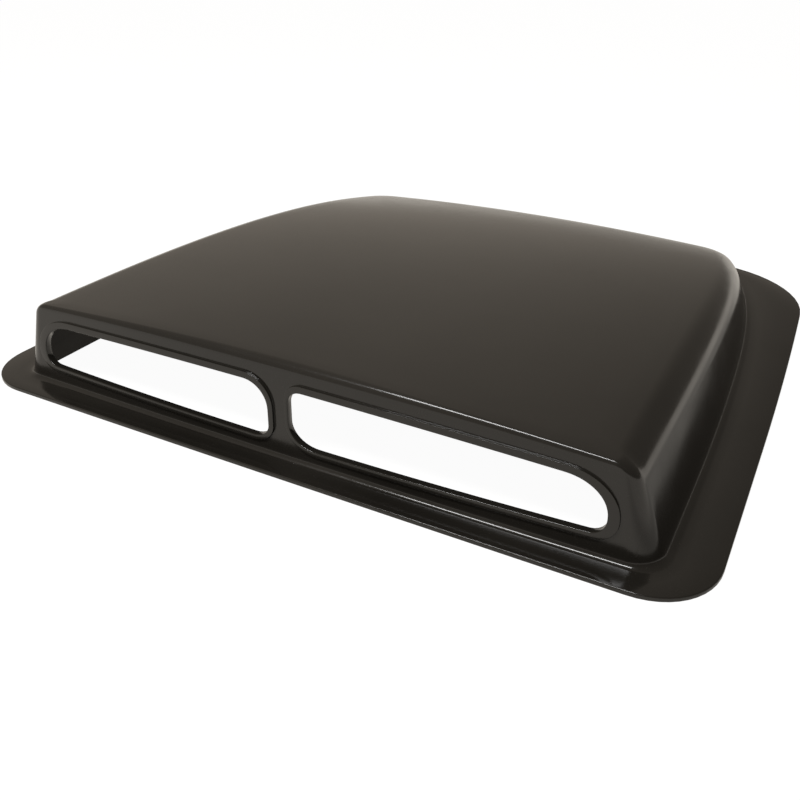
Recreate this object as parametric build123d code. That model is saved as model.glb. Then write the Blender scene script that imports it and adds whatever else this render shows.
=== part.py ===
from build123d import *
from math import cos, radians, tan
import os

# Bonnet vent: one thin moulding, a raised wedge with two inlets on a flat flange.
# X runs across the car, the inlets face -Y, Z is up. The origin is the centre of
# the flange's underside. All sizes are in millimetres.

# Moulding
WALL = 3.5

# Flange outline
WIDTH = 600.0
LENGTH = 566.0
FLANGE_NARROWING = 9.0
FLANGE_STRAIGHT = 195.0
FLANGE_FRONT_BOW = 0.6
FLANGE_FRONT_RADIUS = 47.0
FLANGE_REAR_RADIUS = 107.0
REAR_BOW = 8.0

# Margins of flange left round the wedge
FRONT_MARGIN = 19.5
SIDE_MARGIN = 32.0
REAR_MARGIN = 16.0

# Wedge plan: how far its sides run straight, then close in evenly and at the rear corners
BODY_STRAIGHT = 94.0
BODY_NARROWING = 24.0
REAR_TUCK = 31.0

# Slope of its walls from the upright, in degrees
SIDE_DRAFT = 19.5
REAR_DRAFT = 21.5

# Front face: bowed forwards in plan, more so at the top
FACE_LEAN = 1.5
FACE_BOW_FOOT = 2.2
FACE_BOW_TOP = 6.9

# Roof: height along the centre line, and how far its sides fall
ROOF_FRONT = 80.0
ROOF_BACK = 34.0
ROOF_SAG = 0.55
ROOF_CROWN = 11.5

# Edges: rounded outside, with wider shoulders to the rear; cut flat on the hidden inside
SHOULDER_FRONT = 23.0
SHOULDER_REAR = 38.0
REAR_RADIUS = 36.0
FACE_RADIUS = 6.5
COVE_RADIUS = 4.0
FLANGE_CHAMFER = 1.0
INSIDE_CHAMFER = 12.0

# Inlets: margins left at the wedge's sides and below the roof, other heights in the middle
PILLAR = 17.5
INLET_MARGIN = 36.0
INLET_SILL = 17.5
LINTEL = 19.0
SILL_RISE = 3.8
INLET_TOP_FALL = 4.7

# Corner radii of the inlets, as shares of their height there
PILLAR_TOP_SHARE = 0.45
PILLAR_FOOT_SHARE = 0.4
END_TOP_SHARE = 0.68
END_FOOT_SHARE = 0.3

# Step round each inlet: how deep it is cut into the wall, and its width on each side
LIP_DEPTH = 1.5
LIP_PILLAR = 4.5
LIP_END = 7.5
LIP_TOP = 5.5
LIP_SILL = 4.0

# How far the helper shapes reach past the part
OVERRUN = 20.0
BELOW = 5.0
FORM_TOP = ROOF_FRONT + OVERRUN

# Sections across the wedge that its surfaces are drawn through
STATIONS = 6

front_y = -LENGTH / 2
rear_y = LENGTH / 2
body_half = WIDTH / 2 - SIDE_MARGIN
face_y = front_y + FRONT_MARGIN
body_rear_y = rear_y - REAR_MARGIN
inlet_end = body_half - INLET_MARGIN
inlet_top = ROOF_FRONT - LINTEL
pillar_height = inlet_top - INLET_SILL
end_height = pillar_height - INLET_TOP_FALL - SILL_RISE


def flange_plate():
    half, rear_half = WIDTH / 2, WIDTH / 2 - FLANGE_NARROWING
    corner_front = front_y + FLANGE_FRONT_BOW
    corner_rear = rear_y - REAR_BOW
    knee = corner_front + FLANGE_STRAIGHT
    front = ThreePointArc((-half, corner_front), (0, front_y), (half, corner_front))
    rear = ThreePointArc((rear_half, corner_rear), (0, rear_y), (-rear_half, corner_rear))
    right = Line((half, corner_front), (half, knee))
    right_rear = TangentArc((half, knee), (rear_half, corner_rear), tangent=(0, 1))
    left = Line((-half, knee), (-half, corner_front))
    left_rear = mirror(right_rear, about=Plane.YZ)
    outline = make_face([front, right, right_rear, rear, left_rear, left])
    outline = fillet(outline.vertices().sort_by(Axis.Y)[:2], FLANGE_FRONT_RADIUS)
    outline = fillet(outline.vertices().sort_by(Axis.Y)[-2:], FLANGE_REAR_RADIUS)
    plate = extrude(outline, WALL)
    return chamfer(plate.faces().sort_by(Axis.Z)[-1].edges(), FLANGE_CHAMFER)


def bowed(y, fall):
    """Arc across the wedge through y on the centre line, turning back by fall at its sides."""
    half = body_half + OVERRUN
    end = y + fall * (half / body_half) ** 2
    return ThreePointArc((-half, end), (0, y), (half, end))


def face_arc(z, depth):
    """Plan of the wedge's face at height z, moved back by depth."""
    bow = FACE_BOW_FOOT + (FACE_BOW_TOP - FACE_BOW_FOOT) * z / FORM_TOP
    return bowed(face_y + z * tan(radians(FACE_LEAN)) + depth, bow)


def rear_arc(z, depth):
    """Plan of the wedge's rear wall at height z, moved in by depth."""
    in_by = z * tan(radians(REAR_DRAFT)) + depth / cos(radians(REAR_DRAFT))
    return bowed(body_rear_y - in_by, -REAR_BOW)


def slab(front_wall, back_wall, bottom):
    """The space above bottom between two leaning walls, each given as arc and depth."""
    slices = []
    for z in (bottom, FORM_TOP):
        arcs = [wall(z, depth) for wall, depth in (front_wall, back_wall)]
        ends = [Line(arcs[0] @ t, arcs[1] @ t) for t in (0, 1)]
        slices.append(Pos(0, 0, z) * make_face(arcs + ends))
    return loft(slices, ruled=True)


def along(y):
    """Where y lies along the wedge: 0 at the face, 1 at the rear wall."""
    return (y - face_y) / (body_rear_y - face_y)


def side_half(y):
    """Half width of the wedge at its foot: straight from the face, then closing in."""
    straight = along(face_y + BODY_STRAIGHT)
    closing = max(0, (along(y) - straight) / (1 - straight))
    return body_half - BODY_NARROWING * closing**2 - REAR_TUCK * closing**6


def roof_height(y):
    """Height of the roof on the centre line: nearly level in front, falling faster behind."""
    u = along(y)
    return ROOF_FRONT - (ROOF_FRONT - ROOF_BACK) * (ROOF_SAG * u**2 + (1 - ROOF_SAG) * u**3)


def sharp_section(y, inset):
    """The wedge across the car at y: sloping sides under a crowned roof, moved in by inset."""
    slope = tan(radians(SIDE_DRAFT))
    bottom = -ROOF_BACK
    foot = side_half(y) - inset / cos(radians(SIDE_DRAFT)) - bottom * slope
    head = foot - (FORM_TOP - bottom) * slope
    sides = Polyline(
        (-foot, bottom), (foot, bottom), (head, FORM_TOP), (-head, FORM_TOP), close=True
    )
    reach = body_half + OVERRUN
    top = roof_height(y) - inset
    edge = top - ROOF_CROWN * (reach / body_half) ** 2
    roof = ThreePointArc((-reach, edge), (0, top), (reach, edge))
    below = Polyline((reach, edge), (reach, bottom), (-reach, bottom), (-reach, edge))
    return make_face(sides) & make_face([roof, below])


def wedge_section(y, inset):
    """The same with its shoulders rounded outside, or cut flat where it is moved in."""
    outline = sharp_section(y, inset)
    shoulders = outline.vertices().sort_by(Axis.Y)[-2:]
    radius = SHOULDER_FRONT + (SHOULDER_REAR - SHOULDER_FRONT) * along(y)
    outline = chamfer(shoulders, INSIDE_CHAMFER) if inset else fillet(shoulders, radius)
    return Plane.XZ.offset(-y) * outline


def wedge_form(inset, bottom):
    """The wedge as a solid, with its walls and roof moved in by inset."""
    step = (LENGTH + 2 * OVERRUN) / (STATIONS - 1)
    ridge = loft([wedge_section(front_y - OVERRUN + i * step, inset) for i in range(STATIONS)])
    return ridge & slab((face_arc, inset), (rear_arc, inset), bottom)


def upper_edges(wall):
    """The edges round a wall's top and ends, without the one along its foot."""
    return wall.edges().sort_by(Axis.Z)[1:]


def outside():
    form = wedge_form(0, 0)
    form = fillet(upper_edges(form.faces().sort_by(Axis.Y)[-1]), REAR_RADIUS)
    return fillet(upper_edges(form.faces().sort_by(Axis.Y)[0]), FACE_RADIUS)


def inside():
    form = wedge_form(WALL, -BELOW)
    return chamfer(upper_edges(form.faces().sort_by(Axis.Y)[-1]), INSIDE_CHAMFER)


def level_edge(left, right, height, fall):
    """Edge along the face, at height on the centre line and down by fall at the inlet's end."""
    xs = (left, (left + right) / 2, right)
    return ThreePointArc(*[(x, height - fall * (x / inlet_end) ** 2) for x in xs])


def inlet_slots(pillar=0, end=0, sill=0, top=0):
    """Both inlets, grown past their openings at the pillar, end, sill and top."""
    left = PILLAR / 2 - pillar
    right = inlet_end + end
    upper = level_edge(left, right, inlet_top + top, INLET_TOP_FALL)
    lower = level_edge(left, right, INLET_SILL - sill, -SILL_RISE)
    sides = [Line(lower @ t, upper @ t) for t in (0, 1)]
    slot = make_face([upper, lower] + sides)
    corners = [
        (lower @ 0, PILLAR_FOOT_SHARE * pillar_height + pillar),
        (upper @ 0, PILLAR_TOP_SHARE * pillar_height + pillar),
        (lower @ 1, END_FOOT_SHARE * end_height + sill),
        (upper @ 1, END_TOP_SHARE * end_height + top),
    ]
    for corner, radius in corners:
        slot = fillet(slot.vertices().sort_by_distance(corner)[0], radius)
    right_inlet = extrude(Plane.XZ.offset(-face_y - OVERRUN) * slot, 2 * OVERRUN)
    return right_inlet + mirror(right_inlet, about=Plane.YZ)


def scoop_shell():
    """The whole moulding: wedge on its flange, hollow below, with stepped inlets in front."""
    raised = outside() + flange_plate()
    foot = raised.edges().filter_by_position(Axis.Z, WALL, WALL).filter_by(GeomType.BSPLINE)
    shell = fillet(foot, COVE_RADIUS) - inside()
    step = inlet_slots(LIP_PILLAR, LIP_END, LIP_SILL, LIP_TOP)
    shell -= step & slab((face_arc, -OVERRUN), (face_arc, LIP_DEPTH), 0)
    return shell - inlet_slots()


os.makedirs("parts", exist_ok=True)
export_step(scoop_shell(), "parts/scoop_shell.step")
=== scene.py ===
from collections import namedtuple
from math import cos, pi, radians, sin, tan

import bmesh
import bpy
import numpy as np
from mathutils import Matrix, Vector


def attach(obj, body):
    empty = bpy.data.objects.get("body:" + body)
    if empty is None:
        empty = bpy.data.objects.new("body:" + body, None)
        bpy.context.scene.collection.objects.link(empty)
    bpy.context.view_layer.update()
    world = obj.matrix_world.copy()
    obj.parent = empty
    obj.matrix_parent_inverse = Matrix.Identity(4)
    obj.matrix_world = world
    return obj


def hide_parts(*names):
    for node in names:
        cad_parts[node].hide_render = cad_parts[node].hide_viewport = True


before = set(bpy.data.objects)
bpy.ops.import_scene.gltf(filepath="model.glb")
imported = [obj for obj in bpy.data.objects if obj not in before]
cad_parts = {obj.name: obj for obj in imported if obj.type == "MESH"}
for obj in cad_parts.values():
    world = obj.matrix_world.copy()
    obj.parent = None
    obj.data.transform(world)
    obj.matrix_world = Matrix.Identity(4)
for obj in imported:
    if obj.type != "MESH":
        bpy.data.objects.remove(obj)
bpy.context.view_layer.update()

# Camera, at the photograph's angle, in metres and degrees
PICTURE = 800
FOCAL_PIXELS = 863.5
SENSOR = 36.0
CAMERA_PLACE = Vector((0.3160, -0.6767, 0.3499))
AZIMUTH = 28.25
ELEVATION = 30.13
ROLL = 0.13

# Floor: plain and pale, white for the camera, warmer and duller in reflections
WHITE = (1, 1, 1, 1)
FLOOR_SIZE = 12.0
FLOOR_COLOUR = (0.12, 0.12, 0.12, 1)
FLOOR_SEEN = 0.96
FLOOR_MIRRORED = 0.7
MIRRORED_COLOUR = (1.0, 0.93, 0.83, 1)

# Oval of floor beside the part's right side that is duller still in reflections: a painted
# shadow in the floor's reflected glow
SHADE_PLACE = (0.33, 0.05, 0)
SHADE_SIZE = (0.06, 0.45, 1)
SHADE_FROM = 0.4
SHADE_TO = 1.4
SHADE_LEAST = 0.4

# Light: the room is bright on its left and dim on its right, with one wide lamp
WORLD_COLOUR = (1.0, 0.89, 0.76, 1)
WORLD_BRIGHT = 0.405
WORLD_DIM = 0.15
WORLD_FROM = -0.45
WORLD_TO = 0.25
WORLD_SEEN = 1.0
KEY_AZIMUTH = -6
KEY_ELEVATION = 54
KEY_DISTANCE = 1.8
KEY_SIZE = (0.9, 0.26)
KEY_POWER = 20

# Moulding, in millimetres
WALL = 3.5

# Flange: its outline and how far its corners are cut back, front and rear
HALF_WIDTH = 300.0
FRONT_Y = -282.9
REAR_Y = 282.9
FLANGE_NARROWING = 9.0
FLANGE_STRAIGHT = 195.0
FLANGE_FRONT_BOW = 0.6
FLANGE_CUTS = (47.0, 96.0)

# How far the flange's rear edge and the wedge's rear wall are bowed back
REAR_BOW = 8.0

# Wedge: its plan, the slope of its walls and the bow of its face
BODY_HALF = 268.0
FACE_Y = -263.5
BODY_REAR_Y = 267.0
BODY_STRAIGHT = 94.0
BODY_NARROWING = 24.0
REAR_TUCK = 31.0
SIDE_SLOPE = tan(radians(19.5))
REAR_SLOPE = tan(radians(21.5))
FACE_SLOPE = tan(radians(1.5))
FACE_BOW_FOOT = 2.2
FACE_BOW_RISE = 0.047

# Roof: its height at the face and the rear wall, and how it falls
ROOF_FRONT = 80.0
ROOF_BACK = 34.0
ROOF_SAG = 0.55
ROOF_CROWN = 11.5

# Radii of its edges: along the front, at the front and rear of the sides, along the rear
COVES = (4.0, 7.0, 7.0, 7.0)
SHOULDERS = (6.5, 23.0, 38.0, 36.0)
LEAST_SHOULDER = 3.0
FLANGE_EDGE = 1.0
UNDER_EDGE = 0.5
RIM_EDGE = 0.7

# How far its upright corners are cut back in plan, front and rear
FOOT_CUTS = (19.0, 20.0)
TOP_CUTS = (9.0, 20.0)
ROOF_CUTS = (6.0, 14.0)
CUT_HANDLE = 0.57

# How far the roof's rim lies in from the front, the sides and the rear
ROOF_INSETS = (14.0, 30.0, 26.0)

# Bands of mesh on the flange: out from the wedge's foot, and in from the edge below
FOOT_BAND = 12.0
UNDER_BAND = 6.0

# Inlets: their end, sill and top, and how far the last two turn towards the end
INLET_END = 232.0
INLET_SILL = 17.5
INLET_TOP = 61.0
SILL_RISE = 3.8
TOP_FALL = 4.7

# Each inlet: its pillar side, its lip there and its corners' cuts, round from the pillar's foot
Inlet = namedtuple("Inlet", "near lip cuts")
RIGHT_INLET = Inlet(6.5, 3.0, (18.0, 10.5, 23.0, 11.0))
LEFT_INLET = Inlet(11.0, 4.5, (11.0, 10.5, 23.0, 20.0))

# How much longer the cuts at the pillar's foot and at the end's top are when level
FOOT_STRETCH = 1.25
END_STRETCH = 1.25

# Raised lip round each inlet: its other widths, its height and the rounding of its edges
LIP_END = 7.5
LIP_SILL = 4.0
LIP_TOP = 5.5
LIP_HEIGHT = 2.0
LIP_EDGE = 0.25
LIP_HOLLOW = 0.15
RIM_BAND = 2 * RIM_EDGE

# Cells of the mesh: across one inlet, the pillar, each side and each corner
INLET_CELLS = 80
PILLAR_CELLS = 4
SIDE_CELLS = 72
CORNER_CELLS = 12
FRONT_CELLS = 2 * INLET_CELLS + PILLAR_CELLS

# How far from the centre line the cells of the pillar end
PILLAR_COLUMN = 1.4

# Cells up the wall beside an inlet, round an edge, over a shoulder and out from an inlet
OPENING_ROWS = 24
EDGE_ROWS = 4
SHOULDER_ROWS = 10
RING_ROWS = 4

# Shares of the wall's height: its first row, the rows beside the inlets and its last row
FIRST_ROW = 0.02
OPENING_FROM = 0.062
OPENING_TO = 0.968
LAST_ROW = 0.985

# Points along an inlet's sill, and turns that settle where two curved walls meet
OUTLINE_POINTS = 90
MEETING_TURNS = 20
FACE_TURNS = 6
WALL_TURNS = 12

# Plastic: its two shades in slow clouds
DARK = (0.0132, 0.0119, 0.0099, 1)
LIGHT = (0.0182, 0.0164, 0.0137, 1)
CLOUDS = (7, 4)
CLOUD_RANGE = (0.3, 0.7)

# Dust on it and its rubbed edges: how fine or sharp they are, and their colour and strength
DUST = (0.09, 0.082, 0.07, 1)
DUST_SHARE = 0.2
SPECKS = (900, 2)
SPECK_RANGE = (0.62, 0.8)
WORN = (0.04, 0.037, 0.032, 1)
WEAR_SHARE = 0.35
WEAR_RANGE = (0.53, 0.6)

# Gloss: patches of it, and rubbed streaks that are a little rougher
PATCHES = (16, 5)
PATCH_RANGE = (0.35, 0.65)
STREAKS = (1, 3)
STREAK_STRETCH = (260, 14, 60)
STREAK_RANGE = (0.62, 0.78)
STREAK_ROUGHNESS = 0.07

# Unevenness: a slight ripple and a fine grain, with their depths in metres
RIPPLE = (55, 1)
RIPPLE_STRENGTH = 0.05
RIPPLE_DEPTH = 0.0003
GRAIN = (1600, 2)
GRAIN_DEPTH = 0.00005

# Finish of the outside and of the hidden inside
Finish = namedtuple("Finish", "shine roughness grain")
SATIN = Finish(0.5, (0.14, 0.19), 0.07)
MATT = Finish(0.12, (0.5, 0.62), 0.5)

# Colour sockets of a mixing node: its two inputs and its output
MIX_FIRST = 6
MIX_SECOND = 7
MIX_RESULT = 2


def fill(tree, node, inputs):
    """Sets each input of a node to a plain value or links it to another node's output."""
    for socket, value in inputs.items():
        if isinstance(value, bpy.types.NodeSocket):
            tree.links.new(value, node.inputs[socket])
        else:
            node.inputs[socket].default_value = value


def wired(tree, kind, inputs, out=0, **settings):
    """Adds a node with its settings and inputs, and returns one of its outputs."""
    node = tree.nodes.new(kind)
    for name, value in settings.items():
        setattr(node, name, value)
    fill(tree, node, inputs)
    return node.outputs[out]


def maths(tree, operation, first, second):
    """The sum, product or larger of two numbers or outputs."""
    return wired(tree, "ShaderNodeMath", {0: first, 1: second}, operation=operation)


def ranged(tree, value, start, end, to_start, to_end):
    """A value carried smoothly from one range to another."""
    inputs = {
        "Value": value,
        "From Min": start,
        "From Max": end,
        "To Min": to_start,
        "To Max": to_end,
    }
    return wired(tree, "ShaderNodeMapRange", inputs, interpolation_type="SMOOTHSTEP")


def mixed(tree, share, first, second):
    """A colour a share of the way from the first to the second."""
    inputs = {"Factor": share, MIX_FIRST: first, MIX_SECOND: second}
    return wired(tree, "ShaderNodeMix", inputs, MIX_RESULT, data_type="RGBA")


def noise(tree, place, scale, detail):
    """Cloudy pattern between 0 and 1."""
    inputs = {"Scale": scale, "Detail": detail, "Vector": place}
    return wired(tree, "ShaderNodeTexNoise", inputs)


def bumped(tree, height, strength, depth, below=None):
    """Surface direction bent by a height, on top of the bumps below it."""
    inputs = {"Strength": strength, "Distance": depth, "Height": height}
    if below is not None:
        inputs["Normal"] = below
    return wired(tree, "ShaderNodeBump", inputs)


def aim(azimuth, elevation, roll):
    """Rotation of a camera or lamp that looks back along the given direction."""
    turn = Matrix.Rotation(radians(azimuth), 4, "Z")
    tilt = Matrix.Rotation(radians(90 - elevation), 4, "X")
    return turn @ tilt @ Matrix.Rotation(radians(roll), 4, "Z")


def add_camera():
    """Looks at the part from its right and from above, as in the photograph."""
    data = bpy.data.cameras.new("camera")
    data.sensor_width = SENSOR
    data.lens = FOCAL_PIXELS * SENSOR / PICTURE
    camera = bpy.data.objects.new("camera", data)
    camera.matrix_world = Matrix.Translation(CAMERA_PLACE) @ aim(AZIMUTH, ELEVATION, ROLL)
    bpy.context.collection.objects.link(camera)
    bpy.context.scene.camera = camera


def seen_rays(tree):
    """1 for what the camera sees, straight or through something, and 0 otherwise."""
    straight = wired(tree, "ShaderNodeLightPath", {}, "Is Camera Ray")
    through = wired(tree, "ShaderNodeLightPath", {}, "Is Transmission Ray")
    return maths(tree, "MAXIMUM", straight, through)


def shaded_side(tree):
    """1 over the floor, and less in the oval beside the part, where it paints a shadow into the
    floor's reflected glow.
    """
    place = wired(tree, "ShaderNodeTexCoord", {}, "Object")
    oval = {"Vector": place, "Location": SHADE_PLACE, "Scale": SHADE_SIZE}
    patch = wired(tree, "ShaderNodeMapping", oval, vector_type="TEXTURE")
    away = wired(tree, "ShaderNodeVectorMath", {0: patch}, "Value", operation="LENGTH")
    return ranged(tree, away, SHADE_FROM, SHADE_TO, SHADE_LEAST, 1)


def glow(tree, colour, strength):
    """Light of one colour given off by a surface."""
    return wired(tree, "ShaderNodeEmission", {"Color": colour, "Strength": strength})


def floor_material():
    """Takes the part's shadow, and adds white for the camera and a warm pale for reflections,
    with a painted shadow in that pale beside the part.
    """
    material = bpy.data.materials.new("floor")
    material.use_nodes = True
    tree = material.node_tree
    tree.nodes.clear()
    plain = wired(tree, "ShaderNodeBsdfDiffuse", {"Color": FLOOR_COLOUR})
    white = maths(tree, "MULTIPLY", seen_rays(tree), FLOOR_SEEN)
    glossy = wired(tree, "ShaderNodeLightPath", {}, "Is Glossy Ray")
    pale = maths(tree, "MULTIPLY", glossy, FLOOR_MIRRORED)
    # Painted shadow: the reflected glow is dimmed in the oval beside the part
    pale = maths(tree, "MULTIPLY", pale, shaded_side(tree))
    look = wired(tree, "ShaderNodeAddShader", {0: plain, 1: glow(tree, WHITE, white)})
    look = wired(tree, "ShaderNodeAddShader", {0: look, 1: glow(tree, MIRRORED_COLOUR, pale)})
    fill(tree, tree.nodes.new("ShaderNodeOutputMaterial"), {"Surface": look})
    return material


def add_floor():
    """A square floor under the part, wider than can be seen."""
    mesh = bpy.data.meshes.new("floor")
    half = FLOOR_SIZE / 2
    corners = [(-half, -half, 0), (half, -half, 0), (half, half, 0), (-half, half, 0)]
    mesh.from_pydata(corners, [], [(0, 1, 2, 3)])
    floor = bpy.data.objects.new("floor", mesh)
    bpy.context.collection.objects.link(floor)
    mesh.materials.append(floor_material())


def add_key():
    """One wide lamp in front of the part and above it."""
    data = bpy.data.lights.new("key", "AREA")
    data.shape = "RECTANGLE"
    data.size, data.size_y = KEY_SIZE
    data.energy = KEY_POWER
    lamp = bpy.data.objects.new("key", data)
    turn = aim(KEY_AZIMUTH, KEY_ELEVATION, 0)
    lamp.matrix_world = Matrix.Translation(turn @ Vector((0, 0, KEY_DISTANCE))) @ turn
    bpy.context.collection.objects.link(lamp)


def room_strength(tree):
    """Bright on the left of the room and dim on its right."""
    way = wired(tree, "ShaderNodeTexCoord", {}, "Generated")
    across = wired(tree, "ShaderNodeSeparateXYZ", {0: way}, "X")
    return ranged(tree, across, WORLD_FROM, WORLD_TO, WORLD_BRIGHT, WORLD_DIM)


def light_scene():
    """A warm room that looks white to the camera, and the lamp in it."""
    world = bpy.data.worlds.new("world")
    bpy.context.scene.world = world
    world.use_nodes = True
    tree = world.node_tree
    tree.nodes.clear()
    room = {"Color": WORLD_COLOUR, "Strength": room_strength(tree)}
    seen = {"Color": WHITE, "Strength": WORLD_SEEN}
    looks = [wired(tree, "ShaderNodeBackground", look) for look in (room, seen)]
    look = wired(tree, "ShaderNodeMixShader", {0: seen_rays(tree), 1: looks[0], 2: looks[1]})
    fill(tree, tree.nodes.new("ShaderNodeOutputWorld"), {"Surface": look})
    add_key()
    bpy.context.scene.view_settings.view_transform = "Standard"


def roof_height(x, y, inset=0.0):
    """Height of the roof, nearly level in front and falling faster behind, moved in by inset."""
    u = (y - FACE_Y) / (BODY_REAR_Y - FACE_Y)
    fall = (ROOF_FRONT - ROOF_BACK) * (ROOF_SAG * u**2 + (1 - ROOF_SAG) * u**3)
    return ROOF_FRONT - fall - ROOF_CROWN * (x / BODY_HALF) ** 2 - inset


def face_at(x, z):
    """Where the front face lies, further forward in its middle."""
    return FACE_Y + z * FACE_SLOPE + (FACE_BOW_FOOT + FACE_BOW_RISE * z) * (x / BODY_HALF) ** 2


def side_at(y, z):
    """Where the side wall lies: straight from the face, then closing in."""
    straight = FACE_Y + BODY_STRAIGHT
    closing = np.maximum(0, (y - straight) / (BODY_REAR_Y - straight))
    return BODY_HALF - BODY_NARROWING * closing**2 - REAR_TUCK * closing**6 - z * SIDE_SLOPE


def rear_at(x, z):
    """Where the rear wall lies, bowed back in its middle."""
    return BODY_REAR_Y - z * REAR_SLOPE - REAR_BOW * (x / BODY_HALF) ** 2


def corner_arc(start, corner, end):
    """Plan points round a corner, without the first."""
    first = start + CUT_HANDLE * (corner - start)
    second = end + CUT_HANDLE * (corner - end)
    t = np.linspace(0, 1, CORNER_CELLS + 1)[1:, None]
    arc = (1 - t) ** 3 * start + 3 * (1 - t) ** 2 * t * first
    return arc + 3 * (1 - t) * t**2 * second + t**3 * end


def settled(value, better, turns):
    """A value that comes nearer its end with each turn."""
    for _ in range(turns):
        value = better(value)
    return value


def meeting(side, wall, near_y):
    """Corner in plan where the side meets the front or rear wall, given as curves."""
    def nearer(corner):
        return side(corner[1]), wall(corner[0])

    return np.array(settled((BODY_HALF, near_y), nearer, MEETING_TURNS))


def plan_loop(front, side, rear, cuts):
    """Closed plan loop through the three walls, given as curves, with its corners cut back."""
    front_corner = meeting(side, front, FACE_Y)
    rear_corner = meeting(side, rear, BODY_REAR_Y)
    front_end = front_corner[0] - cuts[0]
    front_x = np.concatenate((
        np.linspace(0, PILLAR_COLUMN, PILLAR_CELLS // 2 + 1)[:-1],
        np.linspace(PILLAR_COLUMN, front_end, INLET_CELLS + 1),
    ))
    side_y = np.linspace(front_corner[1] + cuts[0], rear_corner[1] - cuts[1], SIDE_CELLS + 1)
    rear_x = front_x[::-1] * (rear_corner[0] - cuts[1]) / front_end
    front_half = np.stack((front_x, front(front_x)), 1)
    right = np.stack((side(side_y), side_y), 1)
    rear_half = np.stack((rear_x, rear(rear_x)), 1)
    half = np.concatenate((
        front_half,
        corner_arc(front_half[-1], front_corner, right[0]),
        right[1:],
        corner_arc(right[-1], rear_corner, rear_half[0]),
        rear_half[1:],
    ))
    left = half[-2:0:-1] * (-1, 1)
    return np.concatenate((half, left))


def wall_loop(level, insets, cuts):
    """Closed loop where the walls, moved in by the insets, reach a level."""
    def front(x):
        return settled(FACE_Y, lambda y: face_at(x, level(x, y)) + insets[0], FACE_TURNS)

    def side(y):
        return settled(BODY_HALF, lambda x: side_at(y, level(x, y)) - insets[1], WALL_TURNS)

    def rear(x):
        return settled(BODY_REAR_Y, lambda y: rear_at(x, level(x, y)) - insets[2], WALL_TURNS)

    plan = plan_loop(front, side, rear, cuts)
    return np.column_stack((plan, level(plan[:, 0], plan[:, 1])))


def wall_insets(inset):
    """How far the front, side and rear walls move level when all move in by inset."""
    spreads = [(1 + slope**2) ** 0.5 for slope in (SIDE_SLOPE, REAR_SLOPE)]
    return np.array([inset] + [inset * spread for spread in spreads])


def foot_loop(inset, height, inwards=0):
    """Loop round the foot of the walls moved in by inset, then moved level inwards."""
    def level(x, y):
        return height + 0 * x

    return wall_loop(level, wall_insets(inset) + inwards, np.array(FOOT_CUTS) - inwards)


def roof_loops(inset):
    """Loops round the roof moved in by inset: where it meets the walls, and its rim."""
    def level(x, y):
        return roof_height(x, y, inset)

    insets = wall_insets(inset)
    return wall_loop(level, insets, TOP_CUTS), wall_loop(level, insets + ROOF_INSETS, ROOF_CUTS)


def flange_loop():
    """Closed loop round the flange's outer edge."""
    knee = FRONT_Y + FLANGE_FRONT_BOW + FLANGE_STRAIGHT

    def front(x):
        return FRONT_Y + FLANGE_FRONT_BOW * (x / HALF_WIDTH) ** 2

    def side(y):
        past = np.maximum(0, (y - knee) / (REAR_Y - REAR_BOW - knee))
        return HALF_WIDTH - FLANGE_NARROWING * past**2

    def rear(x):
        return REAR_Y - REAR_BOW * (x / (HALF_WIDTH - FLANGE_NARROWING)) ** 2

    plan = plan_loop(front, side, rear, FLANGE_CUTS)
    return np.column_stack((plan, np.zeros(len(plan))))


def per_column(front, side_front, side_rear, rear):
    """A value for each column of the loops, running evenly along the sides and corners."""
    half = np.concatenate((
        np.full(FRONT_CELLS // 2 + 1, front),
        np.linspace(front, side_front, CORNER_CELLS + 1)[1:],
        np.linspace(side_front, side_rear, SIDE_CELLS + 1)[1:],
        np.linspace(side_rear, rear, CORNER_CELLS + 1)[1:],
        np.full(FRONT_CELLS // 2, rear),
    ))
    return np.concatenate((half, half[-2:0:-1]))[:, None]


def unit(vectors):
    """The same directions, each with a length of 1."""
    return vectors / np.linalg.norm(vectors, axis=1, keepdims=True)


def lift(loop, height):
    """The same loop, raised by a height."""
    return loop + (0, 0, height)


def rounded(before, corner, after, radius, cells):
    """Rows of points round each column's corner, from its side before to its side after."""
    back, on = unit(before - corner), unit(after - corner)
    half = np.arccos(np.clip((back * on).sum(1, keepdims=True), -1, 1)) / 2
    centre = corner + unit(back + on) * radius / np.sin(half)
    start = corner + back * radius / np.tan(half) - centre
    end = corner + on * radius / np.tan(half) - centre
    turn = pi - 2 * half
    shares = np.linspace(0, 1, cells + 1)
    return [
        centre + (np.sin((1 - t) * turn) * start + np.sin(t * turn) * end) / np.sin(turn)
        for t in shares
    ]


def wall_rows(lower, upper):
    """Rows up the wall between its two rounded ends, with the inlets' rows among them."""
    opening = np.linspace(OPENING_FROM, OPENING_TO, OPENING_ROWS + 1)
    shares = np.concatenate(((FIRST_ROW,), opening, (LAST_ROW,)))
    return [lower + (upper - lower) * share for share in shares]


def form_rows(foot, top, roof, before, cove, shoulder):
    """Rows from the foot of the walls to the roof, and the two ends of the wall among them."""
    low = rounded(before, foot, top, cove, EDGE_ROWS)
    high = rounded(foot, top, roof, shoulder, SHOULDER_ROWS)
    return low + wall_rows(low[-1], high[0]) + high + [roof], (low[-1], high[0])


def inlet_margins(inlet, lip, extra):
    """How far an outline lies outside an inlet at its pillar, end, sill and top."""
    widths = (inlet.lip, LIP_END, LIP_SILL, LIP_TOP) if lip else (0, 0, 0, 0)
    return [width + extra for width in widths]


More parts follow.
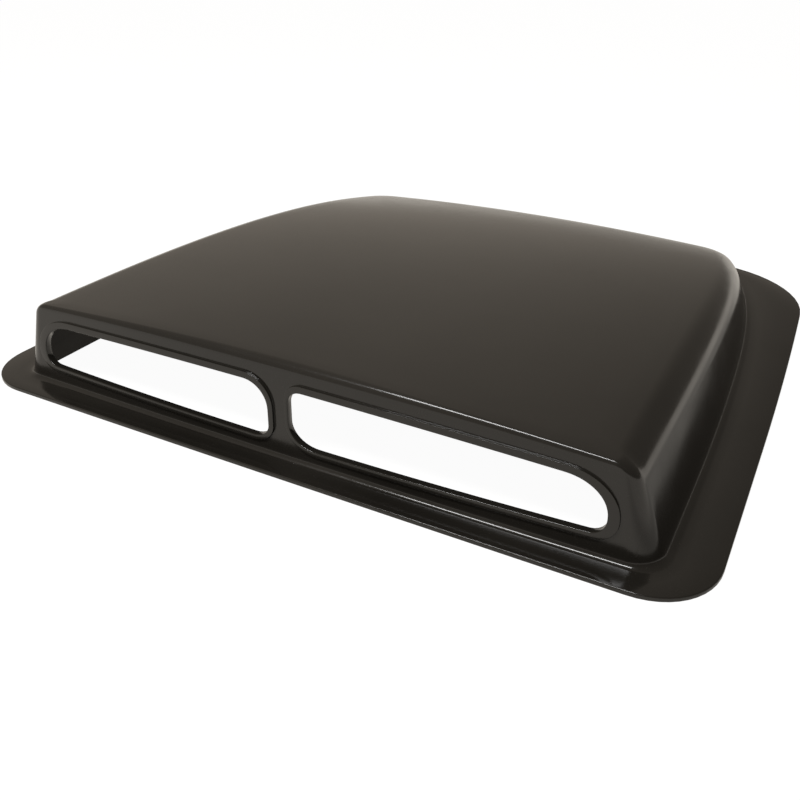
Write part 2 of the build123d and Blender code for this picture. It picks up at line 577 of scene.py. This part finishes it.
def inlet_sides(inlet, margins):
    """Sides of an inlet's outline as runs of points (x, z), and the corners between them."""
    pillar, end, sill, top = margins
    left, right = inlet.near - pillar, INLET_END + end
    cuts = [cut + margin for cut, margin in zip(inlet.cuts, (pillar, sill, top, pillar))]

    def lower(x):
        return INLET_SILL - sill + SILL_RISE * (x / INLET_END) ** 2

    def upper(x):
        return INLET_TOP + top - TOP_FALL * (x / INLET_END) ** 2

    sill_x = np.linspace(left + FOOT_STRETCH * cuts[0], right - cuts[1], OUTLINE_POINTS)
    top_x = np.linspace(right - END_STRETCH * cuts[2], left + cuts[3], OUTLINE_POINTS)
    sides = [
        np.stack((sill_x, lower(sill_x)), 1),
        np.array([(right, lower(right) + cuts[1]), (right, upper(right) - cuts[2])]),
        np.stack((top_x, upper(top_x)), 1),
        np.array([(left, upper(left) - cuts[3]), (left, lower(left) + cuts[0])]),
    ]
    corners = np.array([
        (right, lower(right)),
        (right, upper(right)),
        (left, upper(left)),
        (left, lower(left)),
    ])
    return sides, corners


def evenly(run, cells):
    """The same run with its points evenly spaced."""
    steps = np.linalg.norm(np.diff(run, axis=0), axis=1)
    walked = np.concatenate(((0,), np.cumsum(steps)))
    wanted = np.linspace(0, walked[-1], cells + 1)
    return np.stack([np.interp(wanted, walked, run[:, axis]) for axis in (0, 1)], 1)


def inlet_outline(inlet, lip, extra):
    """Points (x, z) round an inlet or its lip, grown by extra, from the pillar's foot."""
    sides, corners = inlet_sides(inlet, inlet_margins(inlet, lip, extra))
    arcs = []
    for i, corner in enumerate(corners):
        start, end = sides[i][-1], sides[(i + 1) % 4][0]
        arcs.append(np.concatenate(([start], corner_arc(start, corner, end))))
    middle = CORNER_CELLS // 2
    outline = []
    for i, cells in enumerate((INLET_CELLS, OPENING_ROWS) * 2):
        run = np.concatenate((arcs[i - 1][middle:], sides[i][1:-1], arcs[i][:middle + 1]))
        outline.append(evenly(run, cells)[:-1])
    return np.concatenate(outline)


def on_wall(outline, wall, depth=0.0):
    """Points (x, z) of the right inlet laid on the front wall, moved back by depth."""
    columns = slice(0, FRONT_CELLS // 2 + CORNER_CELLS + 1)
    lower, upper = wall[0][columns], wall[1][columns]
    laid = []
    for x, z in outline:
        share = (z - lower[:, 2]) / (upper[:, 2] - lower[:, 2])
        across = lower + (upper - lower) * share[:, None]
        laid.append((x, np.interp(x, across[:, 0], across[:, 1]) + depth, z))
    return np.array(laid)


def blended(rim, outline, wall):
    """Rings on the wall between the mesh's cells round an inlet and its outline."""
    shares = np.linspace(0, 1, RING_ROWS + 1)[1:-1]
    return [on_wall(rim + (outline - rim) * share, wall) for share in shares]


def lip_profile():
    """Steps (outwards, depth) up the lip's outer edge, hollow below and round above."""
    turns = np.linspace(0, pi / 2, EDGE_ROWS + 1)
    hollow = [(LIP_HOLLOW * (1 - sin(t)), -LIP_HOLLOW * (1 - cos(t))) for t in turns]
    rise = LIP_HEIGHT - LIP_EDGE
    return hollow + [(-LIP_EDGE * (1 - cos(t)), -rise - LIP_EDGE * sin(t)) for t in turns]


def rim_profile():
    """Steps (outwards, depth) over the rounded rim of the opening and back through the wall."""
    turns = np.linspace(0, pi / 2, EDGE_ROWS + 1)
    over = [(RIM_EDGE * (1 - sin(t)), RIM_EDGE * (1 - cos(t)) - LIP_HEIGHT) for t in turns]
    return over + [(0, WALL - UNDER_EDGE)]


def inlet_rings(inlet, outer_rim, inner_rim, outer_wall, inner_wall):
    """Rings from the outer face over the lip, through the opening and onto the inner face."""
    def ring(lip, extra, depth):
        return on_wall(inlet_outline(inlet, lip, extra), outer_wall, depth)

    around = inlet_outline(inlet, True, RIM_BAND)
    rings = blended(outer_rim, around, outer_wall) + [on_wall(around, outer_wall)]
    rings += [ring(True, extra, depth) for extra, depth in lip_profile()]
    rings.append(ring(False, RIM_BAND, -LIP_HEIGHT))
    rings += [ring(False, extra, depth) for extra, depth in rim_profile()]
    back = inlet_outline(inlet, False, UNDER_EDGE)
    rings.append(on_wall(back, inner_wall))
    return rings + blended(inner_rim, back, inner_wall)[::-1]


class Surface:
    """Points and quads of the moulding, gathered row by row, and which quads are hidden."""

    def __init__(self):
        self.points = []
        self.faces = []
        self.inner = []

    def add(self, points):
        """Adds points and returns their numbers."""
        first = len(self.points)
        self.points.extend(map(tuple, points))
        return list(range(first, len(self.points)))

    def band(self, low, high, inner, closed=True, gaps=()):
        """Adds quads between two rows of points, apart from the gaps."""
        for i in range(len(low) if closed else len(low) - 1):
            if i not in gaps:
                j = (i + 1) % len(low)
                self.faces.append((low[i], low[j], high[j], high[i]))
                self.inner.append(inner)


def cap_row(front, rear, left, right, back):
    """Plan of one row of the roof's grid, a share of the way back, between its two ends."""
    across = np.linspace(0, 1, len(front))[:, None]
    row = (1 - back) * front + back * rear
    row = row + (1 - across) * (left - (1 - back) * front[0] - back * rear[0])
    return row + across * (right - (1 - back) * front[-1] - back * rear[-1])


def roof_cap(surface, loop, rim, inset, inner):
    """Fills the roof inside its rim with a grid whose corners are the middles of the corners."""
    wide = FRONT_CELLS // 2 + CORNER_CELLS // 2
    deep = SIDE_CELLS + CORNER_CELLS
    front = [(i - wide) % len(loop) for i in range(2 * wide + 1)]
    rear = [(-i - wide - deep) % len(loop) for i in range(2 * wide + 1)]
    plan = loop[:, :2]
    below = [rim[i] for i in front]
    for step in range(1, deep):
        left, right = (-wide - step) % len(loop), wide + step
        row = cap_row(plan[front], plan[rear], plan[left], plan[right], step / deep)
        heights = roof_height(row[:, 0], row[:, 1], inset)
        made = surface.add(np.column_stack((row, heights))[1:-1])
        above = [rim[left]] + made + [rim[right]]
        surface.band(below, above, inner, closed=False)
        below = above
    surface.band(below, [rim[i] for i in rear], inner, closed=False)


def rim_cells(rows, first, side):
    """The mesh's cells round one inlet, in the order of its outline."""
    inner_column, outer_column = PILLAR_CELLS // 2, FRONT_CELLS // 2
    last = first + OPENING_ROWS
    places = [(first, i) for i in range(inner_column, outer_column)]
    places += [(j, outer_column) for j in range(first, last)]
    places += [(last, i) for i in range(outer_column, inner_column, -1)]
    places += [(j, inner_column) for j in range(last, first, -1)]
    return [rows[j][side * i] for j, i in places]


def add_rows(surface, rows, first, inner):
    """Adds the rows and the quads between them, leaving the cells of the two inlets open."""
    made = [surface.add(row) for row in rows]
    count = len(rows[0])
    near, far = PILLAR_CELLS // 2, FRONT_CELLS // 2
    openings = set(range(near, far)) | set(range(count - far, count - near))
    for j in range(len(made) - 1):
        beside_inlets = first <= j < first + OPENING_ROWS
        surface.band(made[j], made[j + 1], inner, gaps=openings if beside_inlets else ())
    return made


# One side of the moulding: its rows, its wall's two ends and the inlets' first row
Sheet = namedtuple("Sheet", "rows wall first")


def outer_sheet(surface, edge, under):
    """The flange's edge and top and the outside of the wedge."""
    rim = foot_loop(0, WALL, -FOOT_BAND)
    flange = [under]
    flange += rounded(under, edge, lift(edge, WALL), UNDER_EDGE, EDGE_ROWS)
    flange += rounded(edge, lift(edge, WALL), rim, FLANGE_EDGE, EDGE_ROWS)
    flange += [rim]
    foot, (top, roof) = foot_loop(0, WALL), roof_loops(0)
    form, wall = form_rows(foot, top, roof, rim, per_column(*COVES), per_column(*SHOULDERS))
    first = len(flange) + EDGE_ROWS + 2
    rows = add_rows(surface, flange + form, first, 0)
    roof_cap(surface, roof, rows[-1], 0, 0)
    return Sheet(rows, wall, first)


def inner_sheet(surface, foot, under, outer):
    """The inside of the wedge, joined to the underside of the flange."""
    top, roof = roof_loops(WALL)
    shoulders = np.maximum(per_column(*SHOULDERS) - WALL, LEAST_SHOULDER)
    form, wall = form_rows(foot, top, roof, under, UNDER_EDGE, shoulders)
    first = EDGE_ROWS + 2
    rows = add_rows(surface, form, first, 1)
    surface.band(outer.rows[0], rows[0], 1)
    roof_cap(surface, roof, rows[-1], WALL, 1)
    return Sheet(rows, wall, first)


def join_inlet(surface, inlet, side, outer, inner):
    """Joins the two sheets through one inlet, on the right (1) or left (-1)."""
    points = np.array(surface.points)
    rims = [points[rim_cells(sheet.rows, sheet.first, 1)][:, ::2] for sheet in (outer, inner)]
    below = rim_cells(outer.rows, outer.first, side)
    for ring in inlet_rings(inlet, *rims, outer.wall, inner.wall):
        made = surface.add(ring * (side, 1, 1))
        surface.band(below, made, 0)
        below = made
    surface.band(below, rim_cells(inner.rows, inner.first, side), 1)


def moulding_surface():
    """The whole moulding as one closed surface."""
    surface = Surface()
    edge, inner_foot = flange_loop(), foot_loop(WALL, 0)
    under = edge + UNDER_BAND * unit(inner_foot - edge)
    outer = outer_sheet(surface, edge, under)
    inner = inner_sheet(surface, inner_foot, under, outer)
    join_inlet(surface, RIGHT_INLET, 1, outer, inner)
    join_inlet(surface, LEFT_INLET, -1, outer, inner)
    return surface


def plastic_colour(tree, place):
    """Two shades of black in slow clouds, with pale dust and paler rubbed edges."""
    clouds = ranged(tree, noise(tree, place, *CLOUDS), *CLOUD_RANGE, 0, 1)
    colour = mixed(tree, clouds, DARK, LIGHT)
    dust = ranged(tree, noise(tree, place, *SPECKS), *SPECK_RANGE, 0, DUST_SHARE)
    colour = mixed(tree, dust, colour, DUST)
    edges = wired(tree, "ShaderNodeNewGeometry", {}, "Pointiness")
    worn = ranged(tree, edges, *WEAR_RANGE, 0, WEAR_SHARE)
    return mixed(tree, worn, colour, WORN)


def plastic_roughness(tree, place, finish):
    """Patches of gloss with rubbed streaks in them."""
    patches = noise(tree, place, *PATCHES)
    gloss = ranged(tree, patches, *PATCH_RANGE, *finish.roughness)
    drawn_out = wired(tree, "ShaderNodeMapping", {"Vector": place, "Scale": STREAK_STRETCH})
    streaks = noise(tree, drawn_out, *STREAKS)
    rubbed = ranged(tree, streaks, *STREAK_RANGE, 0, STREAK_ROUGHNESS)
    return maths(tree, "ADD", gloss, rubbed)


def plastic_bumps(tree, place, finish):
    """A slight ripple under a fine grain."""
    ripple = bumped(tree, noise(tree, place, *RIPPLE), RIPPLE_STRENGTH, RIPPLE_DEPTH)
    return bumped(tree, noise(tree, place, *GRAIN), finish.grain, GRAIN_DEPTH, ripple)


def plastic_material(name, finish):
    """Black moulded plastic."""
    material = bpy.data.materials.new(name)
    material.use_nodes = True
    tree = material.node_tree
    place = wired(tree, "ShaderNodeTexCoord", {}, "Object")
    fill(tree, tree.nodes["Principled BSDF"], {
        "Specular IOR Level": finish.shine,
        "Base Color": plastic_colour(tree, place),
        "Roughness": plastic_roughness(tree, place, finish),
        "Normal": plastic_bumps(tree, place, finish),
    })
    return material


def add_moulding():
    """The moulding as one piece, with the hidden inside in its own material."""
    surface = moulding_surface()
    mesh = bpy.data.meshes.new("moulding")
    mesh.from_pydata([Vector(point) / 1000 for point in surface.points], [], surface.faces)
    mesh.polygons.foreach_set("material_index", surface.inner)
    shape = bmesh.new()
    shape.from_mesh(mesh)
    bmesh.ops.recalc_face_normals(shape, faces=shape.faces)
    shape.to_mesh(mesh)
    shape.free()
    mesh.shade_smooth()
    mesh.materials.append(plastic_material("black_moulding", SATIN))
    mesh.materials.append(plastic_material("moulding_inside", MATT))
    piece = bpy.data.objects.new("moulding", mesh)
    bpy.context.collection.objects.link(piece)
    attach(piece, "root")
    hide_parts("scoop_shell")


add_camera()
add_floor()
light_scene()
add_moulding()
